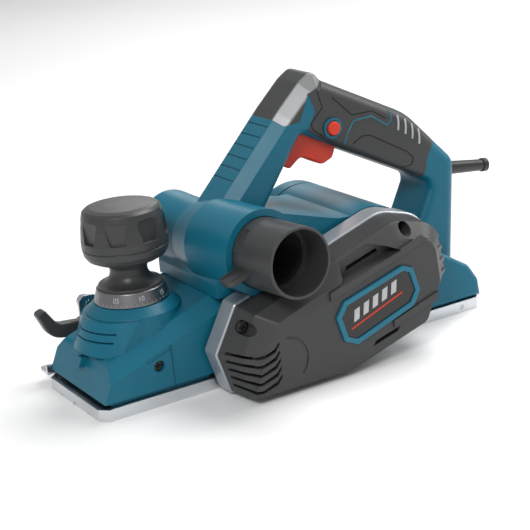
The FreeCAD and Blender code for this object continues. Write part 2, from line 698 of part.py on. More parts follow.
def post_grooves():
    """Shallow finger lines across the front face of the post."""
    run = Vector(POST_HEAD[0] - POST_FOOT[0], 0, POST_HEAD[1] - POST_FOOT[1])
    run.normalize()
    inward = Vector(run.z, 0, -run.x)
    lines = []
    for i in range(6):
        at = Vector(POST_FOOT[0], 0, POST_FOOT[1]).add(Vector(run).multiply(78.0 - 8.2 * i))
        face = Part.Face(Part.makePolygon([
            at.add(Vector(0, -12.0, 0)).add(Vector(inward).multiply(-3)),
            at.add(Vector(0, 12.0, 0)).add(Vector(inward).multiply(-3)),
            at.add(Vector(0, 12.0, 0)).add(Vector(inward).multiply(0.7)),
            at.add(Vector(0, -12.0, 0)).add(Vector(inward).multiply(0.7)),
            at.add(Vector(0, -12.0, 0)).add(Vector(inward).multiply(-3))]))
        lines.append(face.extrude(Vector(run).multiply(1.3)))
    return group(lines)


def motor_barrel(shrink):
    barrel = along_y(MOTOR_X, MOTOR_Z, -HALF_W - 2.6, MOTOR_CAP_Y, MOTOR_SHELL_R - shrink)
    return barrel


def housing_solid(shrink):
    w = HALF_W - shrink
    heel = slab_y(inset(heel_outline(), shrink), -w, w)
    if shrink == 0:
        heel = soften(heel, 4.0, [-w, w])
    middle = slab_y(inset(middle_outline(), shrink), -w, w - 4.0)
    return join(handle_ring(shrink), motor_barrel(shrink), heel, middle)


def duct_outer():
    """Collar at the near side, a taper, and a closed round end at the far side."""
    near = outlet_rod(-30.0, COLLAR_REACH, COLLAR_R)
    bend = outlet_at(-DUCT_BEND)
    taper = cone(outlet_at(-30.0), bend, COLLAR_R, FAR_DUCT_R)
    far = rod(bend, FAR_DUCT_END, FAR_DUCT_R)
    far = far.makeFillet(8.0, [e for e in far.Edges if e.BoundBox.YMin > FAR_DUCT_END.y - 4.0])
    return join(near, taper, Part.makeSphere(FAR_DUCT_R, bend), far)


def duct_bore():
    bend = outlet_at(-DUCT_BEND)
    inner = TUBE_THROAT_R + 1.0
    throat = outlet_rod(-DUCT_BEND, COLLAR_REACH + 1, inner)
    along = FAR_DUCT_END.sub(bend)
    far = rod(bend, bend.add(along.multiply(0.8)), inner)
    socket = outlet_rod(-4.0, COLLAR_REACH + 1, TUBE_R + GAP)
    return join(throat, Part.makeSphere(inner, bend), far, socket)


def cap_zone(margin):
    return slab_y([(-20.0 - margin, 168.0, 0), (3.0 - margin, 158.0 - margin, 0), (13.4, 148.6 - margin, 0),
                   (24.8, 150.0 - margin, 0), (32.5 + margin, 166.0, 0), (CAP_BACK[0] + margin, CAP_BACK[1], 0),
                   (60.0 + margin, 200.0, 0), (-12.0 - margin, 200.0, 0)], -BIG / 4, BIG / 4)


def grip_zone(margin):
    return slab_y([(32.5 - margin, 166.0, 0), (36.5 - margin, 154.0, 0), (29.8 - margin, 142.6 - margin, 0),
                   (55.0, 124.6 - margin, 0), (60.0, 100.0, 0), (106.0, 84.0, 0),
                   (117.0 + margin, 92.0, 0), (121.5 + margin, 108.0, 0), (131.0 + margin, 120.5, 0),
                   (160.0 + margin, 150.0, 0), (60.0, 210.0, 0), (CAP_BACK[0] - margin, CAP_BACK[1], 0)],
                  -BIG / 4, BIG / 4)


def trigger_outline():
    return [
        (15.0, 121.0, 1.6),
        (21.5, 117.4, 2.6),
        (30.5, 123.8, 5.0),
        (46.0, 115.0, 6.0),
        (54.4, 118.2, 3.0),
        (57.6, 126.0, 1.6),
        (57.8, 131.0, 1.6),
        (34.0, 144.2, 1.6),
    ]


def trigger_slot():
    """Space the trigger needs over its whole travel."""
    corners = inset(trigger_outline(), -0.6)
    here = slab_y(corners, -TRIGGER_HALF - 0.6, TRIGGER_HALF + 0.6)
    return join(here, here.translated(Vector(TRIGGER_DIR).multiply(TRIGGER_TRAVEL * 0.5)),
                here.translated(Vector(TRIGGER_DIR).multiply(TRIGGER_TRAVEL + 0.6)))


def sleeve_axis(distance):
    angle = math.radians(-8.0)
    return Vector(141.0 + distance * math.cos(angle), 0, 90.6 + distance * math.sin(angle))


def make_housing():
    shell = join(housing_solid(0.0), duct_outer())
    core = housing_solid(WALL).cut(outlet_rod(-100, 60, TUBE_THROAT_R + 1.0 + WALL))
    shell = shell.cut(core)
    shell = shell.cut(duct_bore())
    # chips rise from the drum chamber into the duct
    shell = shell.cut(box(DRUM_X - 13, DRUM_X + 13, -32, 32, 46, 80))
    shell = shell.cut(along_y(DRUM_X, DRUM_Z, -BIG, BIG, CHAMBER_RADIUS + CHAMBER_WALL + 0.3))
    # room for the toe housing and the belt case
    toe_space = box(-BIG, DRUM_X - 8.0, -BIG, BIG, -BIG, 57.3)
    toe_space = join(toe_space, toe_block(-0.3), box(-BIG, -45.7, -BIG, BIG, -BIG, 40.0))
    shell = shell.cut(toe_space)
    belt_space = slab_y(belt_case_outline(), RIM_Y1, -HALF_W - 0.1)
    shell = shell.cut(belt_space.cut(outlet_rod(-20, 40, TUBE_R + GAP + 1.0)))
    shell = shell.cut(box(-BIG, BIG, -BIG, BIG, -BIG, SOLE_THICK + 0.2))
    shell = shell.cut(box(-BIG, DRUM_X + 28, HALF_W - 0.2, BIG, -BIG, 56.0))
    shell = shell.cut(box(-BIG, DRUM_X + 30, -BIG, BIG, -BIG, 50.0))
    # far end of the motor barrel is open for its cap
    shell = shell.cut(along_y(MOTOR_X, MOTOR_Z, MOTOR_CAP_Y - 1, BIG, MOTOR_SHELL_R + 3))
    shell = shell.cut(post_grooves())
    shell = shell.cut(trigger_slot())
    shell = shell.cut(along_y(LOCK_X, LOCK_Z, -40, 0, LOCK_R + 0.35))
    shell = shell.cut(rod(sleeve_axis(-6.0), sleeve_axis(20.0), 5.05))
    for x, y0, z in HOUSING_SCREWS:
        shell = shell.cut(along_y(x, z, 0.5, y0 + 12, 4.2).common(box(-BIG, BIG, y0 - 3.0, BIG, -BIG, BIG)))
        shell = shell.cut(along_y(x, z, -14.0, y0 + 12, 1.9))
    return shell


def handle_skin(zone):
    skin = handle_ring(0.0).common(zone)
    return skin.cut(handle_ring(SKIN))


def half_space(side):
    if side < 0:
        return box(-BIG, BIG, -BIG, 0, -BIG, BIG)
    return box(-BIG, BIG, 0, BIG, -BIG, BIG)


def clean(shape, least=60.0):
    """Keep the real pieces of a cut shape and drop crumbs."""
    solids = [s for s in shape.Solids if s.Volume > least]
    if len(solids) == 1:
        return solids[0]
    return group(solids)


# ------------------------------------------------------------ knob and dial
def knob_profile():
    points = [(SCREW_R, 64.0), (20.3, 64.0), (20.3, 68.4), (20.0, 69.6)]
    for i in range(1, 9):
        angle = math.radians(90.0 * i / 8.0)
        points.append((20.0 - 8.2 * math.sin(angle), 69.6 + 8.6 * (1 - math.cos(angle))))
    for i in range(1, 7):
        angle = math.radians(90.0 * i / 6.0)
        points.append((11.8 + 9.2 * (1 - math.cos(angle)), 78.2 + 6.8 * math.sin(angle)))
    points += [(24.6, 87.0), (26.4, 90.0), (27.0, 93.6), (26.5, 94.2), (KNOB_R, 94.8), (KNOB_R, 98.8)]
    points += [(26.2, 108.0), (25.3, 113.6), (KNOB_R - 2.7, KNOB_TOP), (22.6, 118.3), (19.0, 119.3)]
    points += [(10.0, 119.9), (0.0, 120.1), (0.0, 76.0), (SCREW_R, 76.0)]
    return points


def turned_z(shape, degrees):
    copy = shape.copy()
    copy.rotate(Vector(KNOB_X, 0, 0), Vector(0, 0, 1), degrees)
    return copy


def make_knob():
    knob = revolve_z(knob_profile(), KNOB_X, 0)
    outline = [(-7.6, 113.2, 1.2), (-4.6, 99.6, 1.2), (4.6, 99.6, 1.2), (7.6, 113.2, 1.2)]
    wire = rounded_wire(outline, lambda a, b: Vector(KNOB_X + 24.7, a, b))
    recess = Part.Face(wire).extrude(Vector(8, 0, 0))
    for i in range(8):
        knob = knob.cut(turned_z(recess, 45.0 * i + 11.0))
    return knob


def make_dial_ring():
    profile = [(15.0, DIAL_Z), (DIAL_R, DIAL_Z), (DIAL_R, DIAL_Z + 0.8), (21.6, 67.4), (21.0, 68.0),
               (20.4, 67.6), (20.4, 63.9), (15.0, 63.9)]
    ring = revolve_z(profile, KNOB_X, 0)
    dimple = along_z(KNOB_X + 19.0, 0, DIAL_Z - 1, DIAL_Z + 0.6, 1.0)
    for i in range(24):
        ring = ring.cut(turned_z(dimple, 15.0 * i))
    return ring


def make_depth_screw():
    shank = along_z(KNOB_X, 0, HOLE_FLOOR + DEPTH_MAX + GAP, 75.9, SCREW_R)
    flange = along_z(KNOB_X, 0, 29.3, 32.0, 7.4)
    thread = [ring_z(KNOB_X, 0, 9.4 + 1.8 * i, 10.3 + 1.8 * i, SCREW_R + 1, SCREW_R - 0.5) for i in range(6)]
    return join(shank, flange).cut(group(thread))


# ------------------------------------------------------------ cutter drum
def around_drum(shape, degrees):
    copy = shape.copy()
    copy.rotate(Vector(DRUM_X, 0, DRUM_Z), Vector(0, 1, 0), degrees)
    return copy


def blade_block():
    """Blade standing in the +Z side of the drum."""
    top = DRUM_Z + CUT_RADIUS
    return box(DRUM_X - BLADE_THICK / 2, DRUM_X + BLADE_THICK / 2, -HALF_W, HALF_W - 0.4, top - BLADE_DEEP, top)


def clamp_block():
    low = DRUM_Z + CUT_RADIUS - BLADE_DEEP - 5.0
    return box(DRUM_X + BLADE_THICK / 2 + SEAT, DRUM_X + BLADE_THICK / 2 + 5.0, DRUM_NEAR_Y + 1.5,
               DRUM_FAR_Y - 1.5, low, DRUM_Z + DRUM_RADIUS - 1.4)


def make_drum():
    drum = along_y(DRUM_X, DRUM_Z, DRUM_NEAR_Y, DRUM_FAR_Y, DRUM_RADIUS)
    for i in range(BLADE_COUNT):
        top = DRUM_Z + CUT_RADIUS
        slot = box(DRUM_X - BLADE_THICK / 2 - SEAT, DRUM_X + BLADE_THICK / 2 + 5.0 + SEAT, -BIG, BIG,
                   top - BLADE_DEEP - 5.4, BIG)
        gullet = box(DRUM_X + BLADE_THICK / 2, DRUM_X + 14.0, -BIG, BIG, DRUM_Z + DRUM_RADIUS - 3.4, BIG)
        gullet.rotate(Vector(DRUM_X, 0, DRUM_Z + DRUM_RADIUS - 3.4), Vector(0, 1, 0), -8.0)
        ledge = box(DRUM_X - BLADE_THICK / 2 - SEAT, DRUM_X + BLADE_THICK / 2, -BIG, BIG,
                    top - BLADE_DEEP - 5.4, top - BLADE_DEEP - SEAT)
        cutter = join(slot.cut(ledge), gullet)
        drum = drum.cut(around_drum(cutter, BLADE_ANGLE + 360.0 / BLADE_COUNT * i))
    bore_end = along_y(DRUM_X, DRUM_Z, DRUM_FAR_Y - 0.01, DRUM_FAR_Y + 1, 16)
    return drum.cut(bore_end).cut(along_y(DRUM_X, DRUM_Z, -BIG, BIG, DRUM_SHAFT_R + SEAT + 1.0))


def make_drum_shaft():
    middle = along_y(DRUM_X, DRUM_Z, DRUM_NEAR_Y, DRUM_FAR_Y, DRUM_SHAFT_R + 1.0)
    near = along_y(DRUM_X, DRUM_Z, -66.0, DRUM_NEAR_Y, DRUM_SHAFT_R)
    far = along_y(DRUM_X, DRUM_Z, DRUM_FAR_Y, HALF_W, DRUM_SHAFT_R)
    return join(middle, near, far)


def pulley(x, z, y0, y1, radius, bore):
    body = ring_y(x, z, y0, y1, radius, bore)
    flange = ring_y(x, z, y1, y1 + 1.4, radius + 1.6, bore)
    grooves = [ring_y(x, z, y0 + 1.6 + 2.2 * i, y0 + 2.4 + 2.2 * i, radius + 2, radius - 0.9) for i in range(4)]
    return join(body, flange).cut(group(grooves))


def belt_loop(extra):
    """Area inside a belt line that runs at a given distance outside both pulleys."""
    r0 = DRUM_PULLEY_R + extra
    r1 = MOTOR_PULLEY_R + extra
    dx = MOTOR_X - DRUM_X
    dz = MOTOR_Z - DRUM_Z
    span = math.hypot(dx, dz)
    base = math.atan2(dz, dx)
    swing = math.acos((r0 - r1) / span)
    place = at_y(PULLEY_Y0 + 0.5)

    def on_drum(angle):
        return place(DRUM_X + r0 * math.cos(angle), DRUM_Z + r0 * math.sin(angle))

    def on_motor(angle):
        return place(MOTOR_X + r1 * math.cos(angle), MOTOR_Z + r1 * math.sin(angle))

    edges = [
        Part.Arc(on_drum(base + swing), on_drum(base + math.pi), on_drum(base - swing)).toShape(),
        Part.LineSegment(on_drum(base - swing), on_motor(base - swing)).toShape(),
        Part.Arc(on_motor(base - swing), on_motor(base), on_motor(base + swing)).toShape(),
        Part.LineSegment(on_motor(base + swing), on_drum(base + swing)).toShape(),
    ]
    return Part.Face(Part.Wire(edges))


def make_belt():
    width = Vector(0, BELT_WIDTH, 0)
    outer = belt_loop(0.3 + BELT_THICK).extrude(width)
    return outer.cut(belt_loop(0.3).extrude(width))


def make_bearing(x, z, y0, y1, outer, inner):
    ring = ring_y(x, z, y0, y1, outer, inner)
    middle = (outer + inner) / 2.0
    for y in (y0, y1):
        ring = ring.cut(ring_y(x, z, y - 0.7, y + 0.7, middle + 1.6, middle - 1.6))
    return ring


# ------------------------------------------------------------ motor
def make_stator():
    body = ring_y(MOTOR_X, MOTOR_Z, -16.0, 26.0, STATOR_R, ROTOR_R + 0.9)
    slots = [box(MOTOR_X - 10, MOTOR_X + 10, -BIG, BIG, MOTOR_Z - 24.5, MOTOR_Z - ROTOR_R + 2),
             box(MOTOR_X - 10, MOTOR_X + 10, -BIG, BIG, MOTOR_Z + ROTOR_R - 2, MOTOR_Z + 24.5)]
    return body.cut(group(slots))


def make_coils():
    coils = []
    for side in (-1, 1):
        low, high = sorted((MOTOR_Z + side * (ROTOR_R + 1.2), MOTOR_Z + side * 24.2))
        coils.append(box(MOTOR_X - 9.6, MOTOR_X + 9.6, -21.0, 31.0, low, high))
    hole = along_y(MOTOR_X, MOTOR_Z, -BIG, BIG, ROTOR_R + 1.2)
    return group([c.cut(hole) for c in coils])


def make_armature():
    core = ring_y(MOTOR_X, MOTOR_Z, -15.0, 25.0, ROTOR_R, MOTOR_SHAFT_R)
    slots = []
    for i in range(12):
        slot = box(MOTOR_X - 0.7, MOTOR_X + 0.7, -BIG, BIG, MOTOR_Z + ROTOR_R - 2.6, MOTOR_Z + ROTOR_R + 2)
        slot.rotate(Vector(MOTOR_X, 0, MOTOR_Z), Vector(0, 1, 0), 30.0 * i)
        slots.append(slot)
    return core.cut(group(slots))


def make_windings():
    return group([ring_y(MOTOR_X, MOTOR_Z, -20.5, -15.0, ROTOR_R - 2.8, MOTOR_SHAFT_R),
                  ring_y(MOTOR_X, MOTOR_Z, 25.0, 30.0, ROTOR_R - 2.8, MOTOR_SHAFT_R)])


def make_fan():
    hub = ring_y(MOTOR_X, MOTOR_Z, -34.0, -22.0, 8.0, MOTOR_SHAFT_R)
    disc = ring_y(MOTOR_X, MOTOR_Z, -24.0, -22.0, 27.0, 7.0)
    blades = []
    for i in range(10):
        blade = box(MOTOR_X - 0.7, MOTOR_X + 0.7, -34.0, -23.5, MOTOR_Z + 7.0, MOTOR_Z + 26.5)
        blade.rotate(Vector(MOTOR_X, 0, MOTOR_Z), Vector(0, 1, 0), 36.0 * i)
        blades.append(blade)
    return join(hub, disc, *blades)


def make_motor_cap():
    outer = along_y(MOTOR_X, MOTOR_Z, MOTOR_CAP_Y + 0.2, MOTOR_END_Y, MOTOR_SHELL_R)
    outer = soften(outer, 7.0, [MOTOR_END_Y])
    inner = along_y(MOTOR_X, MOTOR_Z, MOTOR_CAP_Y - 1, MOTOR_END_Y - WALL, MOTOR_SHELL_R - WALL)
    cap = outer.cut(inner)
    seat = ring_y(MOTOR_X, MOTOR_Z, 48.0, MOTOR_END_Y - 1.0, 12.0, 8.0 + SEAT)
    cap = join(cap, seat)
    for i in range(7):
        wide = math.sqrt(max(0.0, 24.0 ** 2 - (-21 + 7.0 * i) ** 2))
        z = MOTOR_Z - 21.0 + 7.0 * i
        if abs(z - MOTOR_Z) < 12.5:
            for side in (-1, 1):
                a, b = sorted((MOTOR_X + side * 13.5, MOTOR_X + side * wide))
                cap = cap.cut(box(a, b, MOTOR_END_Y - 4, MOTOR_END_Y + 1, z - 1.5, z + 1.5))
        else:
            cap = cap.cut(box(MOTOR_X - wide, MOTOR_X + wide, MOTOR_END_Y - 4, MOTOR_END_Y + 1, z - 1.5, z + 1.5))
    return cap


# ------------------------------------------------------------ dust outlet
def outlet_frame(shape):
    """Carry a shape drawn about the Y axis, mouth towards -Y, onto the outlet axis."""
    copy = shape.copy()
    copy.rotate(Vector(0, 0, 0), Vector(1, 0, 0), -OUTLET_RISE)
    copy.rotate(Vector(0, 0, 0), Vector(0, 0, 1), OUTLET_YAW)
    copy.translate(OUTLET_POINT)
    return copy


def make_dust_tube():
    outer = along_y(0, 0, -OUTLET_REACH, -TUBE_START, TUBE_R)
    outer = soften(outer, 0.7, [-OUTLET_REACH])
    socket = along_y(0, 0, -OUTLET_REACH - 1, -OUTLET_REACH + 22.0, TUBE_R - TUBE_WALL)
    throat = along_y(0, 0, -OUTLET_REACH, 10.0, TUBE_THROAT_R)
    tube = outer.cut(join(socket, throat))
    window = box(-14.0, 6.0, -COLLAR_REACH - 8.0, -COLLAR_REACH - 1.0, TUBE_R - 1.6, 40.0)
    window.rotate(Vector(0, 0, 0), Vector(0, 1, 0), -50.0)
    tube = tube.cut(window)
    paddle = slab_z([(-36.5, -31.5, 4.0), (-20.5, -31.5, 0), (-20.5, -19.0, 0), (-36.5, -19.0, 4.0)], -1.6, 1.6)
    ridges = [box(-35.0, -21.0, y - 0.8, y + 0.8, 1.0, 2.6) for y in (-30.0, -20.5)]
    paddle = join(paddle, *ridges)
    paddle.rotate(Vector(0, 0, 0), Vector(0, 1, 0), -15.0)
    return outlet_frame(join(tube, paddle))


def make_chip_deflector():
    half = ring_y(0, 0, -TUBE_START - 6.0, 30.0, TUBE_THROAT_R - SEAT, TUBE_THROAT_R - 1.5)
    return outlet_frame(half.common(box(-BIG, BIG, -BIG, BIG, 4.0, BIG)))


# ------------------------------------------------------------ far side stop
def make_depth_stop():
    y1 = STOP_Y0 + STOP_THICK
    plate = slab_y([(STOP_X - 7, 7.4, 0), (STOP_X + 7, 7.4, 2.0), (STOP_X + 7, 53.0, 5.0), (STOP_X - 7, 53.0, 5.0)],
                   STOP_Y0, y1)
    arm = box(TOE_X + 0.5, STOP_X, STOP_Y0, y1, 7.4, 13.5)
    foot = slab_z([(TOE_X + 0.5, STOP_Y0, 0), (TOE_X + 9.0, STOP_Y0, 0), (TOE_X + 9.0, STOP_Y0 + 13.0, 2.5),
                   (TOE_X + 0.5, STOP_Y0 + 13.0, 2.5)], 7.4, 9.4)
    stop = join(plate, arm, foot)
    stop = stop.cut(along_y(STOP_X, GRIP_Z, 30, 60, 2.5))
    return stop.cut(slab_y([(STOP_X - 3.3, LEVER_Z - 8.4, 3.2), (STOP_X + 3.3, LEVER_Z - 8.4, 3.2),
                            (STOP_X + 3.3, LEVER_Z + 9.4, 3.2), (STOP_X - 3.3, LEVER_Z + 9.4, 3.2)], 0, 60))


def make_stop_stud():
    stud = along_y(STOP_X, LEVER_Z, HALF_W - 6.2, 54.0, 2.9)
    washer = ring_y(STOP_X, LEVER_Z, STOP_Y0 + STOP_THICK + GAP, STOP_Y0 + STOP_THICK + GAP + 1.4, 6.5, 2.9)
    return join(stud, washer)


def make_stop_lever():
    y0 = STOP_Y0 + STOP_THICK + GAP + 1.8
    hub = along_y(STOP_X, LEVER_Z, y0, 55.5, 7.5)
    arm = slab_y([(STOP_X, LEVER_Z - 5.0, 0), (STOP_X, LEVER_Z + 6.5, 0), (-129.5, 37.0, 8.0),
                  (-137.5, 49.0, 2.4), (-143.5, 46.6, 2.4), (-135.5, 28.5, 14.0)], y0 + 1.0, 54.5)
    arm = soften(arm, 1.6, [y0 + 1.0, 54.5])
    lever = join(hub, arm)
    return lever.cut(along_y(STOP_X, LEVER_Z, y0 - 1, 54.1, 2.9 + RUN))


def make_stop_grip():
    neck = along_y(STOP_X, GRIP_Z, STOP_Y0, 46.0, 2.5)
    head = along_y(STOP_X, GRIP_Z, STOP_Y0 + STOP_THICK, 50.5, 4.8)
    return join(neck, head).cut(box(STOP_X - 0.8, STOP_X + 0.8, 49.4, 52.0, GRIP_Z - 6, GRIP_Z + 6))


# ------------------------------------------------------------ small moving pieces
def make_trigger():
    body = slab_y(trigger_outline(), -TRIGGER_HALF, TRIGGER_HALF)
    return soften(body, 1.4, [-TRIGGER_HALF, TRIGGER_HALF])


def make_lock_button():
    stem = along_y(LOCK_X, LOCK_Z, -19.0, -14.2, LOCK_R - 1.6)
    head = along_y(LOCK_X, LOCK_Z, -23.4, -17.2, LOCK_R)
    head = soften(head, 1.4, [-23.4])
    return join(stem, head)


def make_parking_foot():
    hub = along_y(FOOT_X, FOOT_Z, FOOT_Y - 3.0, FOOT_Y + 3.0, 3.2)
    arm = box(FOOT_X - FOOT_REACH, FOOT_X, FOOT_Y - 3.0, FOOT_Y + 3.0, FOOT_Z - 2.5, FOOT_Z + 2.5)
    return join(hub, arm).cut(along_y(FOOT_X, FOOT_Z, -60, 0, 1.6 + RUN))


def switch_box():
    block = box(-20.0, 20.0, -10.5, 10.5, 0.0, 15.0)
    block.rotate(Vector(0, 0, 0), Vector(0, 1, 0), 30.0)
    block.translate(Vector(64.6, 0, 134.0))
    return block


# ------------------------------------------------------------ build
def main():
    os.makedirs("parts", exist_ok=True)

    save("base_frame", make_base_frame())
    save("front_shoe", make_front_shoe())
    save("guide_pins", make_guide_pins())
    save("toe_housing", clean(make_toe_housing()))
    save("toe_screws", group([screw_y(x, z, side * (HALF_W - 2.3), side * 15.0, 3.3, 1.9)
                              for x, z in TOE_SCREWS for side in (-1, 1)]))

    housing = make_housing().cut(cap_zone(0.0).common(handle_ring(0.0)).cut(handle_ring(SKIN)))
    housing = housing.cut(grip_zone(0.0).common(handle_ring(0.0)).cut(handle_ring(SKIN)))
    housing = housing.cut(switch_box())
    save("housing_left", clean(housing.common(half_space(-1))))
    save("housing_right", clean(housing.common(half_space(1))))
    save("housing_screws", group([screw_y(x, z, y0 - 3.0, -13.0, 3.8, 1.7) for x, y0, z in HOUSING_SCREWS]))

    hole = join(trigger_slot(), along_y(LOCK_X, LOCK_Z, -40, 0, LOCK_R + 2.3))
    cap = handle_skin(cap_zone(-0.05))
    trims = []
    for side in (-1, 1):
        strips = handle_bevels(0.0, POST_BEVEL + TRIM_THICK * 1.414, [side]).Solids
        trims.append(join(*[cap.common(strip) for strip in strips]))
    save("handle_cap", clean(cap.cut(trims)))
    save("cap_trims", group([clean(trim, 5.0) for trim in trims]))
    grip = handle_skin(grip_zone(-0.05)).cut(hole)
    save("grip_left", clean(grip.common(half_space(-1))))
    save("grip_right", clean(grip.common(half_space(1))))
    save("lock_bezel", ring_y(LOCK_X, LOCK_Z, -21.2, -17.7, LOCK_R + 2.25, LOCK_R + 0.35))

    save("cover_rim", clean(make_cover_rim()))
    save("belt_cover", clean(make_belt_cover()))
    save("badge_ring", make_badge_ring())
    save("badge_plate", make_badge_plate())
    save("cover_screws", group([screw_y(x, z, -67.4, -50.0, 3.8, 2.0) for x, z in COVER_SCREWS]))

    save("depth_knob", make_knob())
    save("dial_ring", make_dial_ring())
    save("depth_screw", make_depth_screw())

    save("cutter_drum", make_drum())
    blades = [around_drum(blade_block(), BLADE_ANGLE + 360.0 / BLADE_COUNT * i) for i in range(BLADE_COUNT)]
    save("blades", group(blades))
    clamps = [around_drum(clamp_block(), BLADE_ANGLE + 360.0 / BLADE_COUNT * i) for i in range(BLADE_COUNT)]
    save("blade_clamps", group(clamps))
    save("drum_shaft", make_drum_shaft())
    save("drum_pulley", pulley(DRUM_X, DRUM_Z, PULLEY_Y0, PULLEY_Y1, DRUM_PULLEY_R, DRUM_SHAFT_R))
    save("drum_bearing_near", make_bearing(DRUM_X, DRUM_Z, -48.6, -HALF_W - 0.6, 14.0, DRUM_SHAFT_R + RUN))
    save("drum_bearing_far", make_bearing(DRUM_X, DRUM_Z, HALF_W - 6.4, HALF_W, 11.0, DRUM_SHAFT_R + RUN))
    save("drive_belt", make_belt())

    save("motor_pulley", pulley(MOTOR_X, MOTOR_Z, PULLEY_Y0, PULLEY_Y1, MOTOR_PULLEY_R, MOTOR_SHAFT_R))
    save("motor_shaft", along_y(MOTOR_X, MOTOR_Z, -66.0, 56.0, MOTOR_SHAFT_R))
    save("armature_core", make_armature())
    save("armature_windings", make_windings())
    save("commutator", ring_y(MOTOR_X, MOTOR_Z, 31.0, 43.0, 9.5, MOTOR_SHAFT_R))
    save("cooling_fan", make_fan())
    save("stator_core", make_stator())
    save("field_coils", make_coils())
    save("motor_bearing_near", make_bearing(MOTOR_X, MOTOR_Z, -48.6, -HALF_W - 0.6, 11.0, MOTOR_SHAFT_R + RUN))
    save("motor_bearing_far", make_bearing(MOTOR_X, MOTOR_Z, 49.0, 55.5, 8.0, MOTOR_SHAFT_R + RUN))
    save("motor_cap", make_motor_cap())
    brushes = []
    holders = []
    for side in (-1, 1):
        low, high = sorted((MOTOR_X + side * 10.0, MOTOR_X + side * 20.0))
        brushes.append(box(low, high, 34.0, 40.0, MOTOR_Z - 4.0, MOTOR_Z + 4.0))
        low, high = sorted((MOTOR_X + side * 12.0, MOTOR_X + side * 27.0))
        holder = box(low, high, 32.6, 41.4, MOTOR_Z - 5.4, MOTOR_Z + 5.4)
        holders.append(holder.cut(box(MOTOR_X - 24, MOTOR_X + 24, 33.95, 40.05, MOTOR_Z - 4.05, MOTOR_Z + 4.05)))
    save("carbon_brushes", group(brushes))
    save("brush_holders", group(holders))

    save("dust_tube", make_dust_tube())
    save("chip_deflector", make_chip_deflector())

    save("depth_stop", make_depth_stop())
    save("stop_stud", make_stop_stud())
    save("stop_lever", make_stop_lever())
    save("stop_grip", make_stop_grip())

    save("trigger", make_trigger())
    save("lock_button", make_lock_button())
    save("switch_body", switch_box())
    sleeve = cone(sleeve_axis(0.0), sleeve_axis(SLEEVE_LENGTH), 5.0, 4.0)
    sleeve = join(sleeve, rod(sleeve_axis(SLEEVE_LENGTH - 1.0), sleeve_axis(SLEEVE_LENGTH + 2.6), 4.8))
    save("cord_sleeve", sleeve.cut(rod(sleeve_axis(-1.0), sleeve_axis(SLEEVE_LENGTH + 5.0), SLEEVE_BORE_R)))

    save("parking_foot", make_parking_foot())
    save("foot_pin", along_y(FOOT_X, FOOT_Z, -HALF_W + 0.4, FOOT_Y + 11.0, 1.6))


main()
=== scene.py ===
import json
import math

import bmesh
import bpy
from mathutils import Matrix, Vector


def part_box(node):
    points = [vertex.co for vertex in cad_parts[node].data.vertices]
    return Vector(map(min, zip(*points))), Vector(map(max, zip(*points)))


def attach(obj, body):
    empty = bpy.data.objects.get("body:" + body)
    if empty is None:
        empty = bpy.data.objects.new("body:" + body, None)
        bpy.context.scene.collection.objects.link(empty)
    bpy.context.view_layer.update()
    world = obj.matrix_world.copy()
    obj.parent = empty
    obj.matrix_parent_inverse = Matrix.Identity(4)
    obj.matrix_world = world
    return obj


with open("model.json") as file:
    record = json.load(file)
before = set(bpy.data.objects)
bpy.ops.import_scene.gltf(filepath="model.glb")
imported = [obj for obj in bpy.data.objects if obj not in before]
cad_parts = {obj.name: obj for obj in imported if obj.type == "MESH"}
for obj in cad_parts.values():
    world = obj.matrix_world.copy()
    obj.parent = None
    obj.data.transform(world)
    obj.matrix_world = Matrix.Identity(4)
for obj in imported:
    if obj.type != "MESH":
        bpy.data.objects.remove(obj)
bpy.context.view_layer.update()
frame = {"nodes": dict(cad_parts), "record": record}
NODES = frame["nodes"]
SCENE = bpy.context.scene

# Sizes of the surface details are in millimetres: toe -X, heel +X, belt cover -Y, +Z up.
# Lights, floor and camera are in metres.
MM = 0.001


# ------------------------------------------------------------ materials
def new_material(name):
    material = bpy.data.materials.new(name)
    material.use_nodes = True
    tree = material.node_tree
    shader = tree.nodes["Principled BSDF"]
    return material, tree, shader


def add(tree, kind, **inputs):
    node = tree.nodes.new(kind)
    for key, value in inputs.items():
        node.inputs[key.replace("_", " ")].default_value = value
    return node


def tinted(tree, shader, colour, second, scale, detail=3.0):
    """Base colour drifting between two close tints."""
    place = tree.nodes.new("ShaderNodeTexCoord")
    noise = add(tree, "ShaderNodeTexNoise", Scale=scale, Detail=detail)
    mix = tree.nodes.new("ShaderNodeMix")
    mix.data_type = "RGBA"
    mix.inputs["A"].default_value = (*colour, 1)
    mix.inputs["B"].default_value = (*second, 1)
    tree.links.new(place.outputs["Object"], noise.inputs["Vector"])
    tree.links.new(noise.outputs["Fac"], mix.inputs["Factor"])
    tree.links.new(mix.outputs["Result"], shader.inputs["Base Color"])
    return place, mix


def grained(tree, shader, place, scale, strength, distance=0.0002, stretch=None, detail=2.0):
    """Fine surface relief."""
    noise = add(tree, "ShaderNodeTexNoise", Scale=scale, Detail=detail)
    source = place.outputs["Object"]
    if stretch:
        mapping = tree.nodes.new("ShaderNodeMapping")
        mapping.inputs["Scale"].default_value = stretch
        tree.links.new(source, mapping.inputs["Vector"])
        source = mapping.outputs["Vector"]
    bump = add(tree, "ShaderNodeBump", Strength=strength, Distance=distance)
    worn_edge = add(tree, "ShaderNodeBevel", Radius=0.0006)
    tree.links.new(worn_edge.outputs["Normal"], bump.inputs["Normal"])
    tree.links.new(source, noise.inputs["Vector"])
    tree.links.new(noise.outputs["Fac"], bump.inputs["Height"])
    tree.links.new(bump.outputs["Normal"], shader.inputs["Normal"])
    return noise, bump


